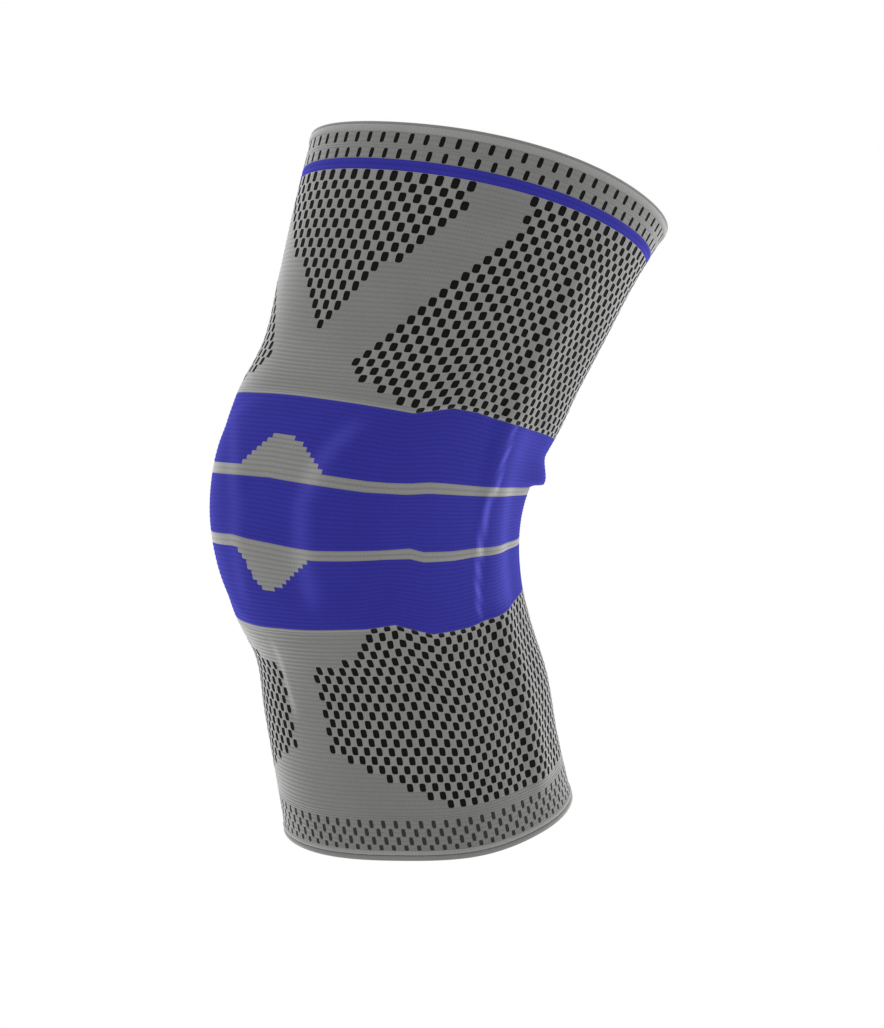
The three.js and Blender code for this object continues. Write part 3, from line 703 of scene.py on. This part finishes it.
def knit_material(name, color, groove_shade=0.0, sheen=1.0, tint=(1, 1, 1, 1), bump=0.12):
    """Matt yarn. UV counts wales round and ribs up, so V columns of stitches follow u, and shade is
    painted into the colour in the grooves between ribs. Noise gives the dye's mottle and the yarn's
    fuzz, and the painted highlight attribute lightens the colour."""
    nodes = Nodes(name)
    uv = nodes.add("ShaderNodeUVMap", uv_map="knit").outputs["UV"]
    split = nodes.add("ShaderNodeSeparateXYZ", {"Vector": uv})
    rib = nodes.math("ABSOLUTE", nodes.math(
        "SINE", nodes.math("MULTIPLY", split.outputs["Y"], math.pi)))
    wale = nodes.math("ABSOLUTE", nodes.math("SINE", nodes.math(
        "ADD", nodes.math("MULTIPLY", split.outputs["X"], math.pi),
        nodes.math("MULTIPLY", rib, RIB_LEAN))))
    place = nodes.add("ShaderNodeTexCoord").outputs["Object"]
    fuzz = nodes.add("ShaderNodeTexNoise", {"Vector": place, **FUZZ}).outputs["Fac"]
    mottle = nodes.add("ShaderNodeTexNoise", {"Vector": place, **MOTTLE}).outputs["Fac"]
    highlight_attribute = nodes.add("ShaderNodeAttribute", attribute_name="painted_highlight").outputs["Fac"]
    # Painted shade: the colour darkens in the grooves between ribs
    shade = nodes.ranging(1 - groove_shade, nodes.math("POWER", rib, GROOVE_ROUND), groove_shade)
    for factor, (least, width) in ((fuzz, FUZZ_SHADE), (mottle, MOTTLE_SHADE), (wale, WALE_SHADE)):
        shade = nodes.math("MULTIPLY", shade, nodes.ranging(least, factor, width))
    # Painted highlight: the colour lightens along the highlight lines, and a pale grey is added
    # there
    shade = nodes.math("MULTIPLY", shade, nodes.math("ADD", 1.0, highlight_attribute))
    tone_and_painted_light = nodes.add("ShaderNodeVectorMath", {"Scale": shade}, operation="SCALE")
    tone_and_painted_light.inputs[0].default_value = color[:3]
    pale_highlight = nodes.add("ShaderNodeVectorMath", {"Scale": highlight_attribute}, operation="SCALE")
    pale_highlight.inputs[0].default_value = (HIGHLIGHT_PALE_GREY,) * 3
    seen = nodes.add("ShaderNodeVectorMath", {0: tone_and_painted_light.outputs[0], 1: pale_highlight.outputs[0]},
                     operation="ADD")
    nodes.link(seen.outputs[0], "Base Color")
    height = nodes.math("ADD", nodes.math("MULTIPLY", wale, WALE_RELIEF),
                        nodes.math("ADD", rib, fuzz))
    relief = nodes.add("ShaderNodeBump", {"Height": height, "Strength": 0.6,
                                          "Distance": bump * MM})
    nodes.link(relief.outputs["Normal"], "Normal")
    nodes.shader.inputs["Roughness"].default_value = 0.95
    nodes.shader.inputs["Specular IOR Level"].default_value = 0.1
    nodes.shader.inputs["Sheen Weight"].default_value = sheen
    nodes.shader.inputs["Sheen Roughness"].default_value = 0.4
    nodes.shader.inputs["Sheen Tint"].default_value = tint
    return nodes.material


def grey(value):
    """A grey that is a touch warm, as undyed yarn is."""
    return srgb(value + 0.003, value + 0.003, value - 0.002)


BLUE_SHEEN = srgb(0.43, 0.43, 0.97)
MATERIALS = {
    "plain": knit_material("grey yarn", grey(0.424), groove_shade=0.16),
    "plain_back": knit_material("grey yarn, inner side", grey(0.38), groove_shade=0.2),
    "stripe": knit_material("grey stripe yarn", grey(0.465), groove_shade=0.3),
    "vent": knit_material("pale grey yarn", grey(0.45)),
    "vent_back": knit_material("pale grey yarn, inner side", grey(0.40)),
    "hem": knit_material("grey hem yarn", grey(0.50)),
    # The rim's darker grey is painted shade along the hem's edge
    "rim": knit_material("rim grey with painted edge shade", grey(0.44)),
    "dot": knit_material("black yarn", grey(0.05), sheen=0.05),
    "dot_back": knit_material("black yarn, inner side", grey(0.10), sheen=0.05),
    "dash": knit_material("dark grey yarn", grey(0.18), sheen=0.1),
    "blue": knit_material("blue yarn", srgb(0.17, 0.165, 0.515), groove_shade=0.22, sheen=0.8,
                          tint=BLUE_SHEEN),
    "blue_back": knit_material("blue yarn, inner side", srgb(0.16, 0.16, 0.42), groove_shade=0.2,
                               sheen=0.5, tint=BLUE_SHEEN),
}


def ring_of(cell, zone):
    """The same cell all over a zone."""
    return {(c, r): cell for c in range(zone.columns) for r in range(zone.rows)}


def off_centre(column, centre, columns):
    """How many columns a column lies from the pattern's centre, the shorter way round."""
    away = (column - centre) % columns
    return min(away, columns - away)


def vented(column, row):
    """Dots and puffs in a check."""
    return DOT if (column - row) % 2 == 0 else PUFF


def thigh_cells():
    """Cells of the thigh's plain knit, front vent and back vent."""
    knit, front, back = {}, {}, {}
    for row in range(thigh.rows):
        reach = FRONT_VENT[row - FRONT_VENT_FIRST_ROW] if row >= FRONT_VENT_FIRST_ROW else -1
        for column in range(THIGH_COLUMNS):
            away = off_centre(column, THIGH_CENTRE, THIGH_COLUMNS)
            spot = (column, row)
            if away <= reach:
                front[spot] = vented(column, row)
            elif away >= BACK_VENT[row]:
                back[spot] = vented(column, row)
            else:
                knit[spot] = PLAIN
    return knit, front, back


def calf_cells():
    """Cells of the calf's plain knit and vent, whose chart is counted down from the knee."""
    knit, vent = {}, {}
    for row in range(calf.rows):
        down = calf.rows - 1 - row
        start = CALF_VENT[down] if down < len(CALF_VENT) else CALF_COLUMNS
        for column in range(CALF_COLUMNS):
            away = off_centre(column, CALF_CENTRE, CALF_COLUMNS)
            if away >= start:
                vent[column, row] = vented(column, down)
            else:
                knit[column, row] = PLAIN
    return knit, vent


def band_cells(zone, is_grey):
    """The blue and the grey cells of a knee zone, where is_grey tells them apart by a cell's row and
    by its middle's angle and place along the leg."""
    column, row = (x.ravel() for x in np.meshgrid(np.arange(zone.columns), np.arange(zone.rows)))
    angle, along = zone.place(column + 0.5, row + 0.5)
    in_stripe = is_grey(row, angle, along)
    spots = list(zip(column.tolist(), row.tolist()))
    return ({spot: BLUE_RIB for spot, inside in zip(spots, in_stripe) if not inside},
            {spot: STRIPE_RIB for spot, inside in zip(spots, in_stripe) if inside})


def dashed(zone, dash_rows, dash):
    """Plain cells with a dash in every second column of some rows, where dash_rows gives the row
    and its first such column."""
    cells = ring_of(PLAIN, zone)
    for row, first in dash_rows.items():
        cells.update({(column, row): dash for column in range(first, zone.columns, 2)})
    return cells


thigh_knit, front_vent, back_vent = thigh_cells()
calf_knit, calf_vent = calf_cells()
upper_blue, upper_grey = band_cells(
    knee_upper, lambda row, angle, along:
    (row < STRIPE_ROWS) | ((upper_wedge(angle) > 0) & (along < upper_stripe_top(angle))))
lower_blue, lower_grey = band_cells(
    knee_lower, lambda row, angle, along:
    (row >= knee_lower.rows - STRIPE_ROWS)
    | ((lower_wedge(angle) > 0) & (along > lower_stripe_bottom(angle))))

# Outlines of the hems as (way from the seam, depth), out along the outer side, over the rim and
# back along the inner side
TOP_HEM_PROFILE = [(0.0, -0.05), (0.2, 0.25), (0.7, 0.5), (1.6, 0.6), (2.6, 0.5), (3.1, 0.1),
                   (3.4, 0.35), (3.8, 0.4), (4.15, 0.2), (4.35, -0.2), (4.4, -0.6),
                   (4.4, -1.4), (4.35, -1.85), (4.15, -2.3), (3.4, -2.5), (1.6, -2.6),
                   (0.5, -2.4), (0.0, -2.0)]
BOTTOM_HEM_PROFILE = [(0.0, -0.05), (0.2, 0.25), (0.6, 0.5), (1.2, 0.6), (1.8, 0.4), (2.1, -0.3),
                      (2.4, 0.35), (2.9, 0.6), (3.8, 0.6), (4.3, 0.35), (4.55, -0.15),
                      (4.6, -0.6), (4.6, -1.4), (4.55, -1.85), (4.3, -2.35), (3.4, -2.6),
                      (1.2, -2.6), (0.4, -2.4), (0.0, -2.0)]

top_cuff_cells = dashed(top_cuff, {0: 0, 2: 1}, TOP_DASH)
top_stripe_cells = ring_of(BLUE_RIB, top_stripe)
middle_cells = ring_of(BLUE_RIB, knee_middle)
bottom_cuff_cells = dashed(bottom_cuff, {0: 0, 1: 1, 2: 0, 3: 1}, LOW_DASH)

# Each knitted piece: CAD node, record slot, zone, cells, facets up a row's inner face, ribs in a row
KNITS = [
    ("top_cuff", "cuff_knit", top_cuff, top_cuff_cells, 4, 2),
    ("top_stripe", "blue_knit", top_stripe, top_stripe_cells, 2, 1),
    ("thigh_knit", "grey_knit", thigh, thigh_knit, 4, 2),
    ("thigh_front_vent", "vent_knit", thigh, front_vent, 1, 2),
    ("thigh_back_vent", "vent_knit", thigh, back_vent, 1, 2),
    ("knee_band_upper", "blue_knit", knee_upper, upper_blue, 2, 1),
    ("knee_stripe_upper", "grey_knit", knee_upper, upper_grey, 2, 1),
    ("knee_band_middle", "blue_knit", knee_middle, middle_cells, 2, 1),
    ("knee_stripe_lower", "grey_knit", knee_lower, lower_grey, 2, 1),
    ("knee_band_lower", "blue_knit", knee_lower, lower_blue, 2, 1),
    ("calf_knit", "grey_knit", calf, calf_knit, 4, 2),
    ("calf_vent", "vent_knit", calf, calf_vent, 1, 2),
    ("bottom_cuff", "cuff_knit", bottom_cuff, bottom_cuff_cells, 4, 2),
]
pieces = {node: knit_piece(node + "_cloth", zone, cells, inner_rows, ribs)
          for node, finish, zone, cells, inner_rows, ribs in KNITS}
pieces["top_hem"] = hem_ring("top_hem_cloth", TOP_CUFF_TOP, toward=1, profile=TOP_HEM_PROFILE,
                             rim_from=3.1)
pieces["bottom_hem"] = hem_ring("bottom_hem_cloth", BOTTOM_CUFF_BOTTOM, toward=-1,
                                profile=BOTTOM_HEM_PROFILE, rim_from=1.9)
finishes = {node: finish for node, finish, *rest in KNITS}
finishes.update(top_hem="grey_knit", bottom_hem="grey_knit")
for node, piece in pieces.items():
    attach(piece, "root")
    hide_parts(node)

# The knit off the leg is this much narrower than on it
STRETCH = 1.12
# A cut that fills less of its rectangle than this is stated by its mean width
LEAST_FILL = 0.3
# Strips too narrow to be sheets of their own, listed under the cloth beside them and left out of the
# sizes below
STRIPS = {
    "top_cuff": ("top_hem", "top_stripe"),
    "knee_band_middle": ("knee_stripe_upper", "knee_stripe_lower"),
    "bottom_cuff": ("bottom_hem",),
}


def knitted_size(zone, cells):
    """Flat width, length and area of a piece off the leg, in metres and square metres."""
    angles = np.linspace(0, 360, 181)
    low, high = zone.lower(angles), zone.upper(angles)
    ring = leg_surface(angles, (low + high) / 2)
    girth = np.linalg.norm(np.diff(ring, axis=0), axis=1).sum() * MM / STRETCH
    height = (high - low).mean() * MM
    rows = {row for column, row in cells}
    widest = max(sum(row == r for column, row in cells) for r in rows)
    width, length = girth * widest / zone.columns, height * len(rows) / zone.rows
    area = girth * height * len(cells) / (zone.columns * zone.rows)
    if area < LEAST_FILL * width * length:
        width = area / length
    return width, length, area


strips = {strip for group in STRIPS.values() for strip in group}
for node, finish, zone, cells, inner_rows, ribs in KNITS:
    if node not in strips:
        width, length, area = knitted_size(zone, cells)

# Camera at the photograph's angle: right, toward the camera, and up of its view
AZIMUTH, ELEVATION = math.radians(38.0), math.radians(4.8)
DISTANCE = 4.0
PIXEL = 0.4286 * MM
FRAME_WIDTH = 884
SENSOR = 36.0
# How many pixels the view's middle lies right of and below the origin
AIM_RIGHT, AIM_DOWN = 60, 8
right = Vector((math.cos(AZIMUTH), math.sin(AZIMUTH), 0))
toward = Vector((math.sin(AZIMUTH) * math.cos(ELEVATION),
                 -math.cos(AZIMUTH) * math.cos(ELEVATION), math.sin(ELEVATION)))
up = toward.cross(right)
camera = bpy.data.objects.new("camera", bpy.data.cameras.new("camera"))
camera.data.sensor_fit = "HORIZONTAL"
camera.data.sensor_width = SENSOR
camera.data.lens = SENSOR * DISTANCE / (FRAME_WIDTH * PIXEL)
camera.location = right * AIM_RIGHT * PIXEL - up * AIM_DOWN * PIXEL + toward * DISTANCE
camera.rotation_euler = Matrix((right, up, toward)).transposed().to_euler()
bpy.context.scene.collection.objects.link(camera)
bpy.context.scene.camera = camera
bpy.context.scene.view_settings.view_transform = "Standard"


def soft_light(name, place, size, power):
    """A round lamp that shines at the origin."""
    lamp = bpy.data.lights.new(name, "AREA")
    lamp.shape = "DISK"
    lamp.size = size
    lamp.energy = power
    light = bpy.data.objects.new(name, lamp)
    light.location = place
    light.rotation_euler = (-Vector(place)).to_track_quat("-Z", "Y").to_euler()
    bpy.context.scene.collection.objects.link(light)


world = bpy.data.worlds.new("studio")
world.use_nodes = True
world.node_tree.nodes["Background"].inputs["Color"].default_value = (1, 1, 1, 1)
world.node_tree.nodes["Background"].inputs["Strength"].default_value = 1.0
bpy.context.scene.world = world
soft_light("key", (-0.6, -2.2, 1.6), size=1.2, power=10)
soft_light("side", right * 1.9 - toward * 0.5 - up * 0.3, size=1.2, power=12)

FLOOR_SIZE, FLOOR_HEIGHT = 400, -0.65
bpy.ops.mesh.primitive_plane_add(size=FLOOR_SIZE, location=(0, 0, FLOOR_HEIGHT))
floor = bpy.context.object
floor.name = "floor"
paper = bpy.data.materials.new("white paper")
paper.use_nodes = True
paper.node_tree.nodes["Principled BSDF"].inputs["Base Color"].default_value = (1, 1, 1, 1)
paper.node_tree.nodes["Principled BSDF"].inputs["Roughness"].default_value = 0.9
floor.data.materials.append(paper)
